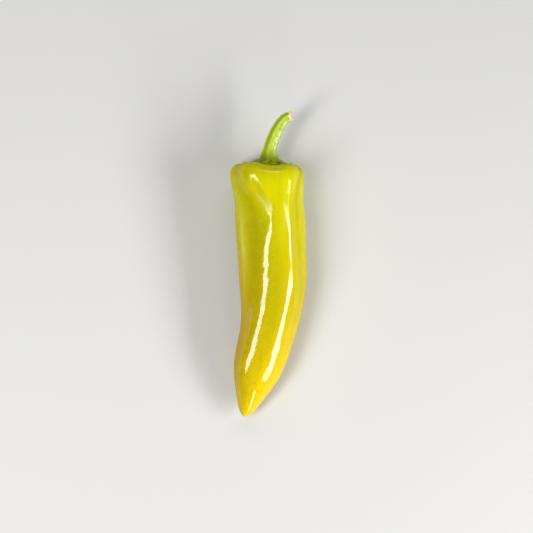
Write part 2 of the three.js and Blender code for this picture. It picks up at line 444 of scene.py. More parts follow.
        found = self.spine(down)
        found = found + aside * (across + height * outward * np.cos(turn))[..., None]
        found = found + upright * (above + height * outward * np.sin(turn))[..., None]
        found = found + stemward * (height * upward - lean)[..., None]
        found[..., 0] += self.crown_shift * (1 - ease(arc, self.shift_from, self.shift_to))
        found[..., 2] = np.maximum(found[..., 2] - self.settle, 0)
        return found

    def grid(self, arcs: np.ndarray, around: int) -> tuple[np.ndarray, np.ndarray]:
        """Every pair of an arc and an angle, as two arrays of rings.

        Args:
            arcs: the arc, or another measure, of each ring.
            around: how many points each ring has.

        Returns:
            The arcs and the angles, with a row for each ring.
        """
        angles = np.linspace(0, 360, around, endpoint=False)
        arc, angle = np.meshgrid(arcs, angles, indexing="ij")
        return arc, angle


# ---- Shaders --------------------------------------------------------------------------


class Shader:
    """A material's node tree, built a node at a time around one Principled BSDF."""

    def __init__(self, name: str) -> None:
        """Starts a material with a Principled BSDF and an output.

        Args:
            name: the material's name.
        """
        self.material = bpy.data.materials.new(name)
        self.material.use_nodes = True
        self.tree = self.material.node_tree
        self.principled = self.tree.nodes["Principled BSDF"]

    def node(self, kind: str, settings: dict[str, Any] | None = None, **inputs: Any) -> Any:
        """Adds a node.

        Args:
            kind: the node's type name, without its ShaderNode prefix.
            settings: properties to set on it.
            inputs: values or sockets for its inputs, by name, with _ for a space.

        Returns:
            The node.
        """
        made = self.tree.nodes.new("ShaderNode" + kind)
        for key, value in (settings or {}).items():
            setattr(made, key, value)
        for key, value in inputs.items():
            self.set(made.inputs[key.replace("_", " ")], value)
        return made

    def set(self, socket: Any, value: Any) -> None:
        """Puts a value in a socket, or links another socket to it."""
        if isinstance(value, bpy.types.NodeSocket):
            self.tree.links.new(value, socket)
        else:
            socket.default_value = value

    def skin(self, **inputs: Any) -> None:
        """Sets the Principled BSDF's inputs, by name, with _ for a space."""
        for key, value in inputs.items():
            self.set(self.principled.inputs[key.replace("_", " ")], value)

    def place(self, stretch: Colour = (1.0, 1.0, 1.0)) -> Any:
        """The Object coordinates, scaled.

        Args:
            stretch: the scale along each axis.

        Returns:
            The scaled coordinates' socket.
        """
        coordinates = self.node("TexCoord")
        mapping = self.node("Mapping", Scale=stretch)
        self.tree.links.new(coordinates.outputs["Object"], mapping.inputs["Vector"])
        return mapping.outputs["Vector"]

    def value(self, name: str) -> Any:
        """One of the piece's own values, as a socket."""
        return self.node("Attribute", {"attribute_name": name}).outputs["Fac"]

    def noise(self, vector: Any, scale: float, detail: float = 2.0, rough: float = 0.5) -> Any:
        """A noise texture's value."""
        made = self.node("TexNoise", Vector=vector, Scale=scale, Detail=detail, Roughness=rough)
        return made.outputs["Fac"]

    def ramp(self, factor: Any, stops: list[tuple[float, Colour]]) -> Any:
        """A colour ramp's colour.

        Args:
            factor: where on the ramp to read.
            stops: the place and colour of each stop, in order.

        Returns:
            The colour's socket.
        """
        made = self.node("ValToRGB", Fac=factor)
        elements = made.color_ramp.elements
        while len(elements) < len(stops):
            elements.new(0.5)
        for element, (place, colour) in zip(elements, stops):
            element.position = place
            element.color = (*colour, 1.0)
        return made.outputs["Color"]

    def mix(self, factor: Any, a: Any, b: Any) -> Any:
        """Two colours mixed by a factor.

        Args:
            factor: how much of the second there is.
            a: the first colour.
            b: the second colour.

        Returns:
            The mixed colour's socket.
        """
        made = self.node("Mix", {"data_type": "RGBA"})
        for socket, value in zip((made.inputs[0], made.inputs[6], made.inputs[7]), (factor, a, b)):
            self.set(socket, (*value, 1.0) if isinstance(value, tuple) else value)
        return made.outputs[2]

    def math(self, operation: str, a: Any, b: Any = 0.0) -> Any:
        """The result of a sum on two values.

        Args:
            operation: the Math node's operation.
            a: the first value.
            b: the second value.

        Returns:
            The result's socket.
        """
        made = self.node("Math", {"operation": operation})
        self.set(made.inputs[0], a)
        self.set(made.inputs[1], b)
        return made.outputs[0]

    def span(self, value: Any, low: float, high: float, to_low: float, to_high: float) -> Any:
        """A value carried from one range to another, and held inside it.

        Args:
            value: the value.
            low: where the first range starts.
            high: where it ends.
            to_low: where the second range starts.
            to_high: where it ends.

        Returns:
            The carried value's socket.
        """
        made = self.node("MapRange", Value=value)
        for name, number in zip(
            ("From Min", "From Max", "To Min", "To Max"), (low, high, to_low, to_high)
        ):
            made.inputs[name].default_value = number
        return made.outputs["Result"]

    def bump(self, height: Any, strength: float, distance: float, under: Any = None) -> Any:
        """A bumped normal, on top of another one if it is given.

        Args:
            height: the height to bump by.
            strength: the bump's strength.
            distance: the height's scale, in metres.
            under: a normal to bump on top of.

        Returns:
            The normal's socket.
        """
        made = self.node("Bump", Height=height, Strength=strength, Distance=distance)
        if under is not None:
            self.set(made.inputs["Normal"], under)
        return made.outputs["Normal"]


@dataclass(frozen=True)
class PodFinish:
    """Waxy yellow pepper skin, greener at the crown and golden towards the tip, with painted shade
    and a painted reflection.
    """

    crown: Colour = (0.56, 0.54, 0.0012)
    upper: Colour = (0.63, 0.62, 0.0012)
    middle: Colour = (0.56, 0.45, 0.0010)
    lower: Colour = (0.71, 0.52, 0.0012)
    tip: Colour = (0.83, 0.58, 0.0016)
    # A darker tone: the streaks' and blotches' own colour, and the colour of the painted shade.
    shade: Colour = (0.42, 0.38, 0.0010)
    # Oranger and darker towards the lower left edge: partly the skin's tone, partly painted shade.
    edge_orange_and_shade: Colour = (0.50, 0.30, 0.0008)
    # A painted reflection: a pale, whitish patch on the left side.
    painted_reflection: Colour = (0.86, 0.84, 0.12)
    speck: Colour = (0.16, 0.10, 0.01)
    roughness: float = 0.28
    specular: float = 0.02
    coat: float = 0.19
    coat_ior: float = 3.0
    coat_roughness: float = 0.08
    depth: float = 0.0022

    def material(self) -> bpy.types.Material:
        """Builds the material.

        Returns:
            The material.
        """
        s = Shader("pod_skin")
        stops = [
            (0.0, self.crown),
            (0.1, self.upper),
            (0.5, self.middle),
            (0.75, self.lower),
            (1.0, self.tip),
        ]
        colour = s.ramp(s.value("along"), stops)
        streaks = s.noise(s.place((1.0, 0.12, 1.0)), 260.0, 3.0, 0.6)
        colour = s.mix(s.span(streaks, 0.45, 0.75, 0.0, 0.35), colour, self.shade)
        blotches = s.span(s.noise(s.place(), 190.0, 3.0), 0.48, 0.68, 0.0, 0.4)
        colour = s.mix(s.math("MULTIPLY", blotches, s.value("flank_mottle_and_shade")), colour, self.shade)
        # Painted shade: the whole left side darker, as if turned away from the light.
        colour = s.mix(s.math("MULTIPLY", s.value("flank_mottle_and_shade"), 0.3), colour, self.shade)
        patches = s.noise(s.place((1.0, 0.5, 1.0)), 55.0, 2.0)
        colour = s.mix(s.span(patches, 0.35, 0.75, 0.0, 0.3), colour, self.lower)
        # Painted shade: darker in the grooves and in a broad valley down the middle of the top.
        colour = s.mix(s.value("groove"), colour, self.shade)
        # Partly the skin's oranger tone, partly painted shade, towards the lower left edge.
        colour = s.mix(s.value("edge_orange_and_shade"), colour, self.edge_orange_and_shade)
        # A painted reflection on the left side.
        colour = s.mix(s.value("painted_reflection"), colour, self.painted_reflection)
        colour = s.mix(s.value("speck"), colour, self.speck)
        pores = s.noise(s.place(), 900.0, 2.0)
        wrinkles = s.noise(s.place((1.0, 1.8, 1.0)), 480.0, 3.0, 0.6)
        ragged = s.math("MULTIPLY", wrinkles, s.value("ragged"))
        normal = s.bump(ragged, 1.0, 0.001)
        normal = s.bump(pores, 0.12, 0.0001, normal)
        s.skin(
            Base_Color=colour,
            Roughness=s.span(patches, 0.3, 0.8, self.roughness - 0.05, self.roughness + 0.08),
            Specular_IOR_Level=self.specular,
            Subsurface_Weight=0.18,
            Subsurface_Radius=(1.0, 0.75, 0.05),
            Subsurface_Scale=self.depth,
            Coat_Weight=s.math("MULTIPLY", s.value("gloss"), self.coat),
            Coat_IOR=self.coat_ior,
            Coat_Roughness=self.coat_roughness,
            Normal=normal,
        )
        return s.material


@dataclass(frozen=True)
class CalyxFinish:
    """The calyx's muted green, paler on its veins and teeth, brown in dry spots, with painted
    shadow under its front rim.
    """

    deep: Colour = (0.17, 0.21, 0.003)
    pale: Colour = (0.42, 0.53, 0.004)
    tooth: Colour = (0.54, 0.64, 0.015)
    brown: Colour = (0.13, 0.07, 0.008)
    roughness: float = 0.48

    def material(self) -> bpy.types.Material:
        """Builds the material.

        Returns:
            The material.
        """
        s = Shader("calyx_green")
        mottle = s.noise(s.place(), 420.0, 4.0, 0.6)
        colour = s.mix(s.span(mottle, 0.35, 0.7, 0.0, 1.0), self.deep, self.pale)
        colour = s.mix(s.value("vein"), colour, self.pale)
        colour = s.mix(s.value("tooth"), colour, self.tooth)
        # Brown stains, and a painted shadow under the front rim.
        colour = s.mix(s.value("stain_and_rim_shadow"), colour, self.brown)
        wrinkles = s.noise(s.place(), 1100.0, 3.0)
        s.skin(
            Base_Color=colour,
            Roughness=s.span(mottle, 0.3, 0.7, self.roughness - 0.1, self.roughness + 0.15),
            Specular_IOR_Level=0.08,
            Subsurface_Weight=0.06,
            Subsurface_Radius=(0.5, 0.8, 0.1),
            Subsurface_Scale=0.0008,
            Normal=s.bump(wrinkles, 0.5, 0.0003),
        )
        return s.material


@dataclass(frozen=True)
class StemFinish:
    """The stem's fresh green, with painted light and shade on its ribs and base, pale mottled
    crests, a painted highlight on one side and a pale torn end.
    """

    # Painted shade in the rib valleys and painted light on the crests.
    valley: Colour = (0.32, 0.42, 0.003)
    crest: Colour = (0.50, 0.62, 0.008)
    # Pale waxen colour, also used for a painted highlight.
    wax_and_sheen: Colour = (0.72, 0.88, 0.34)
    # A darker green, used as painted shade at the base.
    base: Colour = (0.24, 0.30, 0.003)
    torn: Colour = (0.92, 0.85, 0.50)
    scar: Colour = (0.40, 0.25, 0.05)
    roughness: float = 0.36

    def material(self) -> bpy.types.Material:
        """Builds the material.

        Returns:
            The material.
        """
        s = Shader("stem_green")
        fibres = s.noise(s.place((1.0, 0.16, 1.0)), 900.0, 3.0, 0.6)
        # Painted light and shade: lighter on the rib crests, darker in the valleys between them.
        colour = s.mix(s.span(s.value("crest"), -0.9, 0.9, 0.0, 1.0), self.valley, self.crest)
        colour = s.mix(s.span(fibres, 0.4, 0.75, 0.0, 0.45), colour, self.valley)
        mottle = s.noise(s.place((1.0, 0.5, 1.0)), 800.0, 4.0, 0.65)
        # Pale waxen crests, and a painted highlight on the side that faces the key light.
        wax_and_sheen_amount = s.math("MAXIMUM", s.span(s.value("crest"), -0.2, 0.9, 0.0, 0.3), s.value("wax_and_sheen"))
        wax_and_sheen_amount = s.math("MULTIPLY", wax_and_sheen_amount, s.span(mottle, 0.42, 0.58, 0.05, 1.0))
        colour = s.mix(wax_and_sheen_amount, colour, self.wax_and_sheen)
        # Painted shade: darker towards the base, where the stem meets the calyx.
        colour = s.mix(s.value("foot"), colour, self.base)
        pale = s.mix(s.span(fibres, 0.4, 0.7, 0.0, 0.25), self.torn, self.crest)
        colour = s.mix(s.value("torn"), colour, pale)
        colour = s.mix(s.value("scar"), colour, self.scar)
        normal = s.bump(fibres, 0.35, 0.0003)
        normal = s.bump(mottle, 0.3, 0.0002, normal)
        s.skin(
            Base_Color=colour,
            Roughness=s.span(mottle, 0.3, 0.7, self.roughness - 0.06, self.roughness + 0.16),
            Specular_IOR_Level=0.25,
            Subsurface_Weight=0.1,
            Subsurface_Radius=(0.6, 1.0, 0.15),
            Subsurface_Scale=0.001,
            Coat_Weight=0.06,
            Coat_IOR=2.0,
            Coat_Roughness=0.25,
            Normal=normal,
        )
        return s.material


@dataclass(frozen=True)
class FloorFinish:
    """A plain pale floor."""

    colour: Colour = (0.62, 0.615, 0.60)

    def material(self) -> bpy.types.Material:
        """Builds the material.

        Returns:
            The material.
        """
        s = Shader("pale_floor")
        s.skin(Base_Color=(*self.colour, 1.0), Roughness=0.85, Specular_IOR_Level=0.2)
        return s.material


# ---- Geometry Nodes --------------------------------------------------------------------


class GeometryTree:
    """A Geometry Nodes tree with named inputs, run once on an object.

    A tree takes the object's geometry in, and ends in Realize Instances and Set Material.
    """

    def __init__(self, name: str, inputs: dict[str, tuple[str, Any]]) -> None:
        """Starts a tree.

        Args:
            name: the tree's name.
            inputs: for each named input, its socket type and its value.
        """
        self.tree = bpy.data.node_groups.new(name, "GeometryNodeTree")
        sockets = self.tree.interface
        sockets.new_socket("Geometry", in_out="INPUT", socket_type="NodeSocketGeometry")
        self.values: dict[str, Any] = {}
        for key, (kind, value) in inputs.items():
            socket = sockets.new_socket(key, in_out="INPUT", socket_type="NodeSocket" + kind)
            self.values[socket.identifier] = value
        sockets.new_socket("Geometry", in_out="OUTPUT", socket_type="NodeSocketGeometry")
        self.inputs = self.tree.nodes.new("NodeGroupInput").outputs
        self.output = self.tree.nodes.new("NodeGroupOutput")

    def node(self, kind: str, settings: dict[str, Any] | None = None, *inputs: Any) -> Any:
        """Adds a node.

        Args:
            kind: the node's type.
            settings: properties to set on it.
            inputs: for its inputs in order, a value, a socket or None to skip one.

        Returns:
            The node.
        """
        made = self.tree.nodes.new(kind)
        for key, value in (settings or {}).items():
            setattr(made, key, value)
        for socket, value in zip(made.inputs, inputs):
            if isinstance(value, bpy.types.NodeSocket):
                self.tree.links.new(value, socket)
            elif value is not None:
                socket.default_value = value
        return made

    def maths(self, operation: str, a: Any, b: Any = 0.0) -> Any:
        """The result of a sum on two numbers."""
        return self.node("ShaderNodeMath", {"operation": operation}, a, b).outputs[0]

    def vector(self, operation: str, a: Any, b: Any) -> Any:
        """The result of a sum on two vectors."""
        return self.node("ShaderNodeVectorMath", {"operation": operation}, a, b).outputs[0]

    def attribute(self, name: str, kind: str = "FLOAT") -> Any:
        """One of the mesh's own values."""
        made = self.node("GeometryNodeInputNamedAttribute", {"data_type": kind}, name)
        return made.outputs[0]

    def finish(self, geometry: Any) -> None:
        """Ends the tree with Realize Instances and Set Material.

        Args:
            geometry: what to realize and dress.
        """
        real = self.node("GeometryNodeRealizeInstances", None, geometry).outputs[0]
        dressed = self.node("GeometryNodeSetMaterial", None, real, True, self.inputs["Material"])
        self.tree.links.new(dressed.outputs[0], self.output.inputs[0])

    def run(self, target: bpy.types.Object) -> None:
        """Runs the tree on an object, whose mesh becomes the plain result.

        Args:
            target: the object, with plain geometry for the tree to read.
        """
        modifier = target.modifiers.new(self.tree.name, "NODES")
        modifier.node_group = self.tree
        for identifier, value in self.values.items():
            modifier[identifier] = value
        graph = bpy.context.evaluated_depsgraph_get()
        mesh = bpy.data.meshes.new_from_object(target.evaluated_get(graph))
        target.modifiers.remove(modifier)
        target.data = mesh


def rib_tree(ribs: int, height: float, first: float, material: bpy.types.Material) -> GeometryTree:
    """The tree that raises ribs round a stalk.

    The stalk's points have the values turn, in radians round it, and ribbed, from 0 to 1.

    Args:
        ribs: how many ribs stand round it.
        height: a rib's height above the plain stalk, in metres.
        first: the turn of the first rib, in radians.
        material: what the result is dressed in.

    Returns:
        The tree, which also leaves the value crest, 1 on a rib and -1 between ribs.
    """
    tree = GeometryTree(
        "stem_ribs",
        {
            "Ribs": ("Float", float(ribs)),
            "Rib Height": ("Float", height),
            "First Rib": ("Float", first),
            "Material": ("Material", material),
        },
    )
    off = tree.maths("SUBTRACT", tree.attribute("turn"), tree.inputs["First Rib"])
    crest = tree.maths("COSINE", tree.maths("MULTIPLY", off, tree.inputs["Ribs"]))
    stored = tree.node("GeometryNodeStoreNamedAttribute", {"data_type": "FLOAT", "domain": "POINT"})
    tree.tree.links.new(tree.inputs["Geometry"], stored.inputs["Geometry"])
    stored.inputs["Name"].default_value = "crest"
    tree.tree.links.new(crest, stored.inputs["Value"])
    rise = tree.maths("MULTIPLY", crest, tree.inputs["Rib Height"])
    rise = tree.maths("MULTIPLY", rise, tree.attribute("ribbed"))
    normal = tree.node("GeometryNodeInputNormal").outputs[0]
    scaled = tree.node("ShaderNodeVectorMath", {"operation": "SCALE"}, normal)
    tree.tree.links.new(rise, scaled.inputs["Scale"])
    moved = tree.node("GeometryNodeSetPosition", None, stored.outputs["Geometry"])
    tree.tree.links.new(scaled.outputs[0], moved.inputs["Offset"])
    tree.finish(moved.outputs[0])
    return tree


def fibre_tree(
    length: float, radius: float, spread: float, seed: int, material: bpy.types.Material
) -> GeometryTree:
    """The tree that stands a tapered fibre on each point of a torn edge.

    Args:
        length: the longest fibre, in metres.
        radius: a fibre's radius at its foot, in metres.
        spread: how far a fibre may turn aside, in radians.
        seed: which random lengths and turns.
        material: what the result is dressed in.

    Returns:
        The tree. The points have the value aim, a vector that their fibre follows.
    """
    tree = GeometryTree(
        "torn_fibres",
        {
            "Length": ("Float", length),
            "Radius": ("Float", radius),
            "Spread": ("Float", spread),
            "Seed": ("Int", seed),
            "Material": ("Material", material),
        },
    )
    cone = tree.node("GeometryNodeMeshCone")
    cone.inputs["Vertices"].default_value = 6
    cone.inputs["Side Segments"].default_value = 5
    tree.tree.links.new(tree.inputs["Radius"], cone.inputs["Radius Bottom"])
    point = tree.maths("MULTIPLY", tree.inputs["Radius"], 0.35)
    tree.tree.links.new(point, cone.inputs["Radius Top"])
    tree.tree.links.new(tree.inputs["Length"], cone.inputs["Depth"])
    points = tree.node("GeometryNodeMeshToPoints", {"mode": "VERTICES"}, tree.inputs["Geometry"])
    aimed = tree.node("FunctionNodeAlignRotationToVector", {"axis": "Z"})
    tree.tree.links.new(tree.attribute("aim", "FLOAT_VECTOR"), aimed.inputs["Vector"])

    def random(kind: str, low: Any, high: Any, ident: int) -> Any:
        """Adds a random value.

        Args:
            kind: its data type.
            low: the least it can be.
            high: the most it can be.
            ident: what is added to the seed, so that each is different.

        Returns:
            The value's socket.
        """
        made = tree.node("FunctionNodeRandomValue", {"data_type": kind})
        sockets = [s for s in made.inputs if s.enabled]
        for socket, value in zip(sockets, (low, high)):
            if isinstance(value, bpy.types.NodeSocket):
                tree.tree.links.new(value, socket)
            else:
                socket.default_value = value
        seeded = tree.maths("ADD", tree.inputs["Seed"], float(ident))
        tree.tree.links.new(seeded, made.inputs["Seed"])
        return next(s for s in made.outputs if s.enabled)

    scale = random("FLOAT", 0.35, 1.0, 1)
    placed = tree.node("GeometryNodeInstanceOnPoints")
    tree.tree.links.new(points.outputs[0], placed.inputs["Points"])
    tree.tree.links.new(cone.outputs[0], placed.inputs["Instance"])
    tree.tree.links.new(aimed.outputs[0], placed.inputs["Rotation"])
    tree.tree.links.new(scale, placed.inputs["Scale"])
    turned = tree.node("GeometryNodeRotateInstances")
    tree.tree.links.new(placed.outputs[0], turned.inputs["Instances"])
    aside = tree.node("ShaderNodeCombineXYZ")
    minus = tree.maths("MULTIPLY", tree.inputs["Spread"], -1.0)
    tree.tree.links.new(random("FLOAT", minus, tree.inputs["Spread"], 2), aside.inputs[0])
    tree.tree.links.new(random("FLOAT", minus, tree.inputs["Spread"], 3), aside.inputs[1])
    tree.tree.links.new(aside.outputs[0], turned.inputs["Rotation"])
    tree.finish(turned.outputs[0])
    return tree


# ---- The pieces ------------------------------------------------------------------------


@dataclass
class Piece:
    """What every piece of the pepper has in common."""

    skin: Skin
    shift: np.ndarray

    def hand_over(
        self, made: bpy.types.Object, slot: Slot, node: str | None = None
    ) -> bpy.types.Object:
        """Gives a finished piece to the frame.

        Args:
            made: the piece.
            slot: the record's material slot; not used.
            node: the CAD node that it stands for, if it stands for one.

        Returns:
            The same piece.
        """
        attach(made, BODY)
        if node is not None:
            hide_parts(node)
        LOG.info("%s: %d faces", made.name, len(made.data.polygons))
        return made


@dataclass
class Pod(Piece):
    """The fruit: the plain form, with the fine relief of its skin."""

    finish: PodFinish = field(default_factory=PodFinish)
    around: int = 320
    along: int = 280
    crowding: float = 0.5
    long: float = 152.0
    deepest: float = 2.4
    left_light: float = 108.0
    # A broad patch of painted shade down the middle of the top, carried by the groove value.
    valley_shade: Swelling = Swelling(95, 84, 32, 5, 0, 0.6)
    dull_wax: tuple[Swelling, ...] = (
        Swelling(42, 94, 8, 7, 0, 0.9),
        Swelling(34, 106, 5, 9, 0, 0.9),
        Swelling(32, 115, 4.5, 3.5, 0, 0.6),
        Swelling(23, 84, 2, 15, 0, 0.5),
        Swelling(23.3, 114, 1.9, 5.5, 0, 0.9),
        Swelling(23.8, 57, 1.9, 4.5, 0, 0.9),
        Swelling(41, 58.5, 14, 5, 0, 0.82),
        Swelling(80, 60, 7, 5, 0, 0.8),
        Swelling(80, 188, 90, 14, 0, 0.6),
        Swelling(80, -8, 90, 12, 0, 0.6),
        Swelling(142, 72, 3, 4, 0, 0.5),
    )
    dents: tuple[Swelling, ...] = (
        Swelling(21.0, 80, 1.6, 9, 0, -0.15),
        Swelling(24.0, 78, 1.6, 8, 0, 0.15),
        Swelling(16.5, 88, 0.9, 8, 0, 0.3),
        Swelling(25.6, 116, 1.2, 3.2, 0, 0.26),
        Swelling(80.0, 53, 7, 3, 0, 0.3),
        Swelling(55.5, 103, 1.8, 1.8, 0, -0.35),
        Swelling(71.5, 13, 1.2, 3.5, 0, -0.3),
        Swelling(64, 122, 6, 2, 12, 0.25),
        Swelling(88, 47, 10, 3, -15, 0.2),
    )
    specks: tuple[tuple[float, float, float], ...] = (
        (104.5, 132, 0.5),
        (136, 66, 0.55),
        (77, 150, 0.4),
        (120, 24, 0.45),
        (95, 205, 0.5),
        (60, 330, 0.45),
    )

    def arcs(self) -> np.ndarray:
        """The rings' arcs, closer together near both ends."""
        v = np.linspace(0, 1, self.along + 1)[1:-1]
        return self.skin.length * (v - self.crowding * np.sin(2 * np.pi * v) / (2 * np.pi))

    def fine_relief(self, arc: np.ndarray, angle: np.ndarray) -> np.ndarray:
        """The small dents and the unevenness that the plain form leaves out.

        Args:
            arc: arcs in millimetres.
            angle: angles in degrees, of the same shape.

        Returns:
            A height in millimetres for each place.
        """
        radius = self.skin.radius(arc)
        height = sum(dent.over(arc, angle, radius) for dent in self.dents)
        places = self.skin.straightened(arc, angle)
        uneven = bell(turn_between(self.left_light, angle), 34) * ease(arc, 45, 60)
        body = ease(radius, 5, 12)
        height = height + 0.08 * body * grain(places, (9.0, 20.0, 9.0), 3.1)
        height = height + (0.02 + 0.07 * uneven) * body * grain(places, (3.2, 5.0, 3.2), 8.7)
        return height + (0.006 + 0.045 * uneven) * body * grain(places, (1.5, 2.0, 1.5), 21.3)

    def values(self, arc: np.ndarray, angle: np.ndarray) -> dict[str, np.ndarray]:
        """What the finish reads at each point.

        Args:
            arc: arcs in millimetres.
            angle: angles in degrees, of the same shape.

        Returns:
            The values by name, each from 0 to 1 at every place.
        """
        skin = self.skin
        down = skin.down(arc)
        radius = skin.radius(arc)
        grooves = sum(np.minimum(skin.fold_height(fold, arc, angle), 0) for fold in skin.folds)
        spots = [Swelling(a, t, r, r, 0, 1.0).over(arc, angle, radius) for a, t, r in self.specks]
        # Painted shade, deeper where the grooves are deeper.
        shaded = 0.7 * -grooves / self.deepest
        left = bell(turn_between(self.left_light, angle), 30) * ease(down, 22, 34)
        right = bell(turn_between(72, angle), 16) * ease(down, 75, 95)
        return {
            "along": np.clip(down / self.long, 0, 1),
            "groove": np.clip(shaded + self.valley_shade.over(arc, angle, radius), 0, 1),
            "ragged": np.clip(0.12 + 0.88 * left + 0.5 * right, 0, 1),
            "gloss": np.clip(1 - sum(d.over(arc, angle, radius) for d in self.dull_wax), 0, 1),
            # Where the left side's own blotches and its painted shade lie.
            "flank_mottle_and_shade": bell(turn_between(135, angle), 40),
            # Where the lower left edge turns oranger and takes painted shade.
            "edge_orange_and_shade": 0.95 * bell(turn_between(166, angle), 38) * bell(down - 112, 40),
            # Where the painted reflection lies on the left side.
            "painted_reflection": 0.35 * bell(turn_between(143, angle), 7) * bell(down - 45, 20),
            "speck": np.clip(sum(spots), 0, 1),
        }

    def build(self) -> bpy.types.Object:
        """Makes the pod.

        Returns:
            The pod.
        """
        arc, angle = self.skin.grid(self.arcs(), self.around)
        rings = self.skin.points(arc, angle, self.fine_relief(arc, angle))
        ends = self.skin.points(np.array([0.0, self.skin.length]), np.zeros(2))
        form = RingMesh("pepper_pod", rings, ends[0], ends[1], self.values(arc, angle))
        made = form.build(self.shift)
        made.data.materials.append(self.finish.material())
        return self.hand_over(made, Slot.POD, "pod")


@dataclass(frozen=True)
class Tooth:
    """One of the calyx's teeth: its angle, reach, half width in degrees, and rise."""

    angle: float
    reach: float
    width: float
    rise: float


@dataclass
class Calyx(Piece):
    """The green cap on the crown, with its teeth and veins."""

    finish: CalyxFinish = field(default_factory=CalyxFinish)
    around: int = 320
    top_rows: int = 70
    under_rows: int = 24
    gap: float = 0.5
    rim: float = 11.9
    flat: float = 5.7
    middle: float = 4.9
    edge: float = 1.1
    tip: float = 0.5
    slope: float = 0.8
    longest: float = 4.2
    teeth: tuple[Tooth, ...] = (
        Tooth(7, 4.2, 7, 2.1),
        Tooth(24, 1.8, 6, 0),
        Tooth(96, 1.5, 6, 1.6),
        Tooth(144, 1.9, 7, 0),
        Tooth(179, 3.2, 7, 1.2),
        Tooth(237, 2.6, 8, 0),
        Tooth(300, 2.8, 8, 0.3),
    )

    def reach(self, angle: np.ndarray) -> np.ndarray:
        """The arc of the cap's edge at each angle.

        Args:
            angle: angles in degrees.

        Returns:
            An arc in millimetres for each angle.
        """
        turn = np.radians(angle)
        circle = np.stack([np.cos(turn), np.sin(turn), np.zeros_like(turn)], -1) * self.rim
        found = self.rim - 0.1 + 0.45 * grain(circle, (2.4, 2.4, 2.4), 5.2)
        for tooth in self.teeth:
            found = found + tooth.reach * bell(turn_between(tooth.angle, angle), tooth.width)
        return found

    def thickness(self, arc: np.ndarray) -> np.ndarray:
        """The cap's thickness at each arc.

        Args:
            arc: arcs in millimetres.

        Returns:
            A thickness in millimetres for each arc.
        """
        out = np.clip((arc - self.rim) / self.longest, 0, 1)
        slope = np.clip((arc - self.flat) / (self.rim - self.flat), 0, 1)
        cap = self.edge + (self.middle - self.edge) * (1 - slope) ** self.slope
        return np.where(arc > self.rim, self.edge + (self.tip - self.edge) * out, cap)

    def clearance(self, arc: np.ndarray, angle: np.ndarray) -> np.ndarray:
        """How far the underside stands off the pod.

        Args:
            arc: arcs in millimetres.
            angle: angles in degrees, of the same shape.

        Returns:
            A distance in millimetres for each place.
        """
        out = np.maximum(arc - self.rim, 0) / self.longest
        found = np.full(arc.shape, self.gap)
        for tooth in self.teeth:
            off = turn_between(tooth.angle, angle)
            found = found + tooth.rise * out * bell(off, 2 * tooth.width)
        return found

    def veins(self, angle: np.ndarray) -> np.ndarray:
        """The veins that run out to the teeth, from 0 to 1."""
        return sum(bell(turn_between(tooth.angle, angle), 5) for tooth in self.teeth)

    def build(self) -> bpy.types.Object:
        """Makes the calyx: out over its top, down its edge, and back under it.

        Returns:
            The calyx.
        """
        top = np.linspace(0, 1, self.top_rows + 1)[1:]
        under = np.linspace(1, 0, self.under_rows + 1)[:-1]
        shares = np.concatenate([top, [1.0, 1.0], under])
        heights = np.concatenate([np.ones(self.top_rows), [0.7, 0.3], np.zeros(self.under_rows)])
        share, angle = self.skin.grid(shares, self.around)
        height = np.broadcast_to(heights[:, None], share.shape)
        arc = share * self.reach(angle)
        thick = self.thickness(arc)
        vein = self.veins(angle) * ease(arc, 4, 8)
        places = self.skin.points(arc, angle)
        uneven = 0.22 * grain(places, (1.7, 1.7, 1.7), 2.5)
        uneven = uneven + 0.1 * grain(places, (0.7, 0.7, 0.7), 9.1)
        rough = (0.3 * vein + uneven) * ease(arc, 2, 6) * np.minimum(thick, 1)
        rounding = 0.35 * ease(share, 0.94, 1.0) * thick
        lift = self.clearance(arc, angle) + height * (thick - rounding + rough)
        rings = self.skin.points(arc, angle, lift)
        poles = self.skin.points(
            np.zeros(2), np.zeros(2), np.array([self.gap + self.middle, self.gap])
        )
        stain_and_rim_shadow = bell(turn_between(52, angle), 7) * bell(arc - 11, 1.2)
        spotted = ease(grain(places, (2.2, 2.2, 2.2), 14.4), 0.25, 0.5)
        stain_and_rim_shadow = stain_and_rim_shadow + 0.3 * spotted * ease(arc, 8, 12)
        # Painted shadow: a dark line along the underside of the front rim, where it stands over the
        # pod.
        rim_shadow = ease(-height, -0.95, -0.5) * ease(share, 0.9, 1.0)
        stain_and_rim_shadow = stain_and_rim_shadow + 0.95 * bell(turn_between(82, angle), 14) * rim_shadow
        values = {
            "vein": np.clip(0.6 * vein * height, 0, 1),
            "tooth": np.clip(ease(arc, 11.6, 13.6) * (0.4 + height), 0, 1),
            "stain_and_rim_shadow": np.clip(stain_and_rim_shadow, 0, 1),
        }
        made = RingMesh("pepper_calyx", rings, poles[0], poles[1], values).build(self.shift)
        made.data.materials.append(self.finish.material())
        return self.hand_over(made, Slot.CALYX, "calyx")


@dataclass(frozen=True)
class Strip:
    """A strip of rind left standing at the torn end: angle, reach, half width, curl."""

    angle: float
    reach: float
    width: float
    curl: float


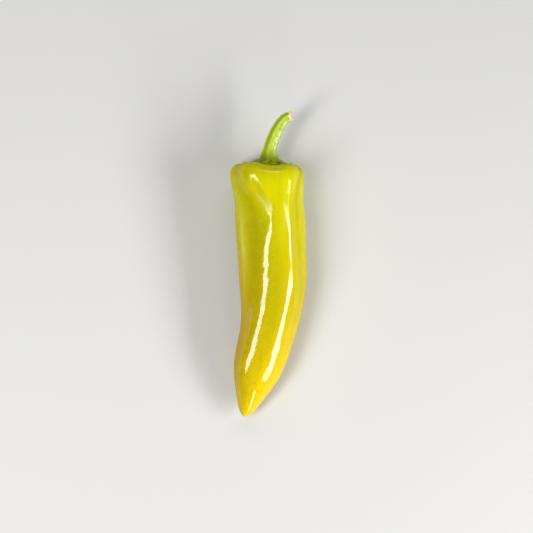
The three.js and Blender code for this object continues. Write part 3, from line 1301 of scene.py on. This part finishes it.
@dataclass
class Stem(Piece):
    """The curved stalk, with ribs along it and a torn end."""

    finish: StemFinish = field(default_factory=StemFinish)
    path: tuple[tuple[float, float, float], ...] = (
        (0.7, 62.1, 20.85),
        (0.9, 66.7, 21.4),
        (2.4, 71.3, 22),
        (4.2, 75.9, 22.5),
        (6.7, 80.5, 22.9),
        (9.7, 84.6, 23),
        (12.9, 86.3, 22.9),
    )
    radii: tuple[float, ...] = (5.3, 3.8, 3.65, 3.65, 3.35, 3.05, 2.8)
    strips: tuple[Strip, ...] = (
        Strip(140, 2.6, 36, -1.0),
        Strip(345, 0.9, 30, 0.2),
        Strip(255, 0.5, 20, 0.1),
    )
    ribs: int = 6
    rib_height: float = 0.2
    first_rib: float = 40.0
    longest: float = 2.2
    slant: float = 0.25
    hollow: float = 0.6
    root: float = 0.05
    torn_from: float = 0.82
    fibre_count: int = 34
    fibre_length: float = 0.9
    fibre_radius: float = 0.11
    fibre_spread: float = 0.5
    fibre_seed: int = 7
    around: int = 192
    end_rows: int = 26
    side_rows: int = 210

    def axis(self, place: np.ndarray) -> np.ndarray:
        """The middle line's points at fractions of the stem's length.

        Args:
            place: fractions of the length, 0 at the base.

        Returns:
            The points, in an array with a last axis of X, Y, Z.
        """
        steer = np.array(self.path, float)
        t = place * (len(steer) - 1)
        return np.stack([spline(steer[:, k], t) for k in range(3)], -1)

    def frame_at(self, place: np.ndarray) -> tuple[np.ndarray, np.ndarray, np.ndarray]:
        """The directions forward, aside and upright at fractions of the length.

        Args:
            place: fractions of the length, 0 at the base.

        Returns:
            The three directions, each an array of unit vectors.
        """
        forward = self.axis(place + 0.01) - self.axis(place - 0.01)
        forward /= np.linalg.norm(forward, axis=-1, keepdims=True)
        aside = np.cross(forward, np.array([0.0, 0.0, 1.0]))
        aside /= np.linalg.norm(aside, axis=-1, keepdims=True)
        return forward, aside, np.cross(aside, forward)

    def torn_reach(self, angle: np.ndarray, radius: np.ndarray) -> np.ndarray:
        """How far the torn rind reaches past the end of the stem.

        Args:
            angle: angles in degrees.
            radius: the stem's radius at each.

        Returns:
            A distance in millimetres for each angle.
        """
        turn = np.radians(angle)
        circle = np.stack([np.cos(turn), np.sin(turn), np.zeros_like(turn)], -1) * 3
        found = radius * self.slant * np.cos(np.radians(angle - 180))
        for strip in self.strips:
            off = turn_between(strip.angle, angle) / strip.width
            found = found + strip.reach * bell(off**2, 1)
        found = found + 0.5 * grain(circle, (0.9, 0.9, 0.9), 4.4)
        return np.minimum(found, self.longest)

    def curl(self, angle: np.ndarray) -> np.ndarray:
        """How far the torn strips lean outwards."""
        return sum(s.curl * bell(turn_between(s.angle, angle), s.width) for s in self.strips)

    def build(self) -> bpy.types.Object:
        """Makes the stalk.

        Returns:
            The stalk, without its loose fibres.
        """
        side = np.linspace(1, -self.root, self.side_rows)
        out = np.linspace(0, 1, self.end_rows + 1)[1:-1]
        spreads = np.concatenate([out, np.ones(self.side_rows), [0.6, 0.3]])
        places = np.concatenate([np.ones(len(out)), side, [-self.root] * 2])
        spread, angle = self.skin.grid(spreads, self.around)
        place = np.broadcast_to(places[:, None], spread.shape)
        turn = np.radians(angle)
        radius = spline(self.radii, place * (len(self.radii) - 1))
        near_end = ease(place, self.torn_from, 1)
        torn = near_end * self.torn_reach(angle, radius) * spread**5
        reach = radius * spread + self.curl(angle) * np.maximum(torn, 0) * 0.5
        at_end = np.concatenate([np.ones(len(out)), np.zeros(self.side_rows + 2)])[:, None]
        sunk = self.hollow * at_end * (1 - spread**2)

        forward, aside, upright = self.frame_at(place)
        middle = self.axis(place)
        rings = middle + aside * (reach * np.cos(turn))[..., None]
        rings = rings + upright * (reach * np.sin(turn))[..., None]
        rings = rings + forward * (torn - sunk)[..., None]
        rough = grain(rings, (1.5, 5.0, 1.5), 6.6) * 0.12
        rough = rough + grain(rings, (0.8, 0.8, 0.8), 11.9) * 0.05 * near_end
        rings = rings + (rings - middle) * (rough / 3.5)[..., None]
        first, base = self.axis(np.array([1.0, -self.root]))
        first = first - self.frame_at(np.array([1.0]))[0][0] * self.hollow
        frayed = ease(place, 0.975, 1) * ease(grain(rings, (0.9, 0.9, 0.9), 31.5), 0.0, 0.25)
        spot = bell(turn_between(70, angle), 20) * bell(place - 0.925, 0.022)
        values = {
            "turn": turn,
            "ribbed": (1 - at_end) * np.ones_like(turn),
            # Painted shade towards the base, where the stem meets the calyx.
            "foot": ease(0.16 - place, 0.0, 0.2),
            "torn": np.clip(at_end + ease(place + 0.02 * torn, 0.935, 0.985), 0, 1),
            "scar": np.clip(spot + 0.85 * frayed, 0, 1) * (1 - at_end),
            # A painted highlight on the side that faces the key light.
            "wax_and_sheen": bell(turn_between(50, angle), 26) * bell(place - 0.4, 0.5),
        }
        made = RingMesh("pepper_stem", rings, first, base, values).build(self.shift)
        dress = self.finish.material()
        first_rib = math.radians(self.first_rib)
        rib_tree(self.ribs, self.rib_height * MM, first_rib, dress).run(made)
        self.fibres(dress)
        return self.hand_over(made, Slot.STEM, "stem")

    def fibres(self, dress: bpy.types.Material) -> None:
        """Stands short fibres round the torn end.

        Args:
            dress: the stem's material.
        """
        count = self.fibre_count
        angle = np.linspace(0, 360, count, endpoint=False)
        angle = angle + 6 * np.sin(np.arange(count) * 2.4)
        turn = np.radians(angle)
        place = np.ones(count)
        forward, aside, upright = self.frame_at(place)
        radius = spline(self.radii, place * (len(self.radii) - 1)) - 0.3
        reach = self.torn_reach(angle, radius) - 0.15
        feet = self.axis(place) + aside * (radius * np.cos(turn))[:, None]
        feet = feet + upright * (radius * np.sin(turn))[:, None] + forward * reach[:, None]
        mesh = bpy.data.meshes.new("pepper_stem_fibres")
        mesh.from_pydata(((feet + self.shift) * MM).tolist(), [], [])
        layer = mesh.attributes.new("aim", "FLOAT_VECTOR", "POINT")
        layer.data.foreach_set("vector", forward.astype(np.float32).ravel())
        for name in ("torn", "crest", "foot", "scar", "wax_and_sheen"):
            layer = mesh.attributes.new(name, "FLOAT", "POINT")
            layer.data.foreach_set("value", [float(name == "torn")] * count)
        made = bpy.data.objects.new("pepper_stem_fibres", mesh)
        bpy.context.scene.collection.objects.link(made)
        length, thick = self.fibre_length * MM, self.fibre_radius * MM
        fibre_tree(length, thick, self.fibre_spread, self.fibre_seed, dress).run(made)
        self.hand_over(made, Slot.STEM)


# ---- The studio ------------------------------------------------------------------------


@dataclass(frozen=True)
class Softbox:
    """A long rectangular light that faces the pepper, in metres.

    Attributes:
        name: its name.
        start: the middle of one end.
        end: the middle of the other end.
        width: its width.
        power: its power in watts.
    """

    name: str
    start: tuple[float, float, float]
    end: tuple[float, float, float]
    width: float
    power: float

    def build(self) -> None:
        """Makes the light, its back turned away from the origin."""
        start, end = Vector(self.start), Vector(self.end)
        middle = (start + end) / 2
        length = (end - start).normalized()
        back = (middle - length * middle.dot(length)).normalized()
        lamp = bpy.data.lights.new(self.name, "AREA")
        lamp.shape = "RECTANGLE"
        lamp.size = self.width
        lamp.size_y = (end - start).length
        lamp.energy = self.power
        made = bpy.data.objects.new(self.name, lamp)
        made.location = middle
        turn = Matrix((length.cross(back), length, back)).transposed()
        made.rotation_euler = turn.to_euler()
        bpy.context.scene.collection.objects.link(made)


@dataclass(frozen=True)
class Studio:
    """The floor, the lights and the camera that looks straight down on the pepper."""

    floor_size: float = 24.0
    height: float = 0.85
    lens: float = 95.0
    sensor: float = 36.0
    off_middle: tuple[float, float] = (-0.00115, -0.00105)
    world: Colour = (0.03, 0.03, 0.03)
    softboxes: tuple[Softbox, ...] = (
        Softbox("key_strip", (0.78, 0.07, 0.5), (0.70, -1.1, 0.42), 0.24, 11.6),
        Softbox("left_strip", (-0.2, 0.03, 0.8), (-0.78, -0.5, 0.64), 0.25, 6.4),
        Softbox("back_card", (-0.5, 0.75, 0.6), (0.5, 0.75, 0.6), 0.3, 2.6),
        Softbox("front_card", (0.12, -0.9, 0.42), (0.08, -1.0, 0.12), 0.09, 1.4),
    )

    def build(self) -> None:
        """Makes the studio."""
        self.build_floor()
        for softbox in self.softboxes:
            softbox.build()
        world = bpy.data.worlds.new("studio")
        world.use_nodes = True
        world.node_tree.nodes["Background"].inputs["Color"].default_value = (*self.world, 1.0)
        bpy.context.scene.world = world
        bpy.context.scene.view_settings.view_transform = "Standard"
        self.build_camera()

    def build_floor(self) -> None:
        """Makes the floor."""
        half = self.floor_size / 2
        corners = [(-half, -half, 0.0), (half, -half, 0.0), (half, half, 0.0), (-half, half, 0.0)]
        mesh = bpy.data.meshes.new("floor")
        mesh.from_pydata(corners, [], [(0, 1, 2, 3)])
        mesh.materials.append(FloorFinish().material())
        floor = bpy.data.objects.new("floor", mesh)
        bpy.context.scene.collection.objects.link(floor)
        floor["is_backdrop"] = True

    def build_camera(self) -> None:
        """Makes the camera."""
        low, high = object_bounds()
        camera = bpy.data.cameras.new("camera")
        camera.lens = self.lens
        camera.sensor_width = self.sensor
        made = bpy.data.objects.new("camera", camera)
        middle = [(a + b) / 2 + off for a, b, off in zip(low[:2], high[:2], self.off_middle)]
        made.location = (*middle, self.height)
        bpy.context.scene.collection.objects.link(made)
        bpy.context.scene.camera = made


def shift_to_frame(skin: Skin) -> np.ndarray:
    """How far the pepper's form has to move to lie in the frame, in millimetres.

    Args:
        skin: the pod's skin.

    Returns:
        The move along X, Y and Z.
    """
    arc, angle = skin.grid(np.linspace(0, skin.length, 200), 240)
    points = skin.points(arc, angle)
    own = (points.min((0, 1)) + points.max((0, 1))) / 2
    low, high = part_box("pod")
    there = (np.array(low) + np.array(high)) / (2 * MM)
    return np.array([there[0] - own[0], there[1] - own[1], 0.0])


def main() -> None:
    """Loads the frame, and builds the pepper's pieces and the studio."""
    logging.basicConfig(level=logging.INFO, format="%(name)s: %(message)s")
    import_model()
    skin = Skin()
    shift = shift_to_frame(skin)
    LOG.info("moved by %s mm", np.round(shift, 3).tolist())
    Studio().build()
    Pod(skin, shift).build()
    Calyx(skin, shift).build()
    Stem(skin, shift).build()


if __name__ == "__main__":
    main()
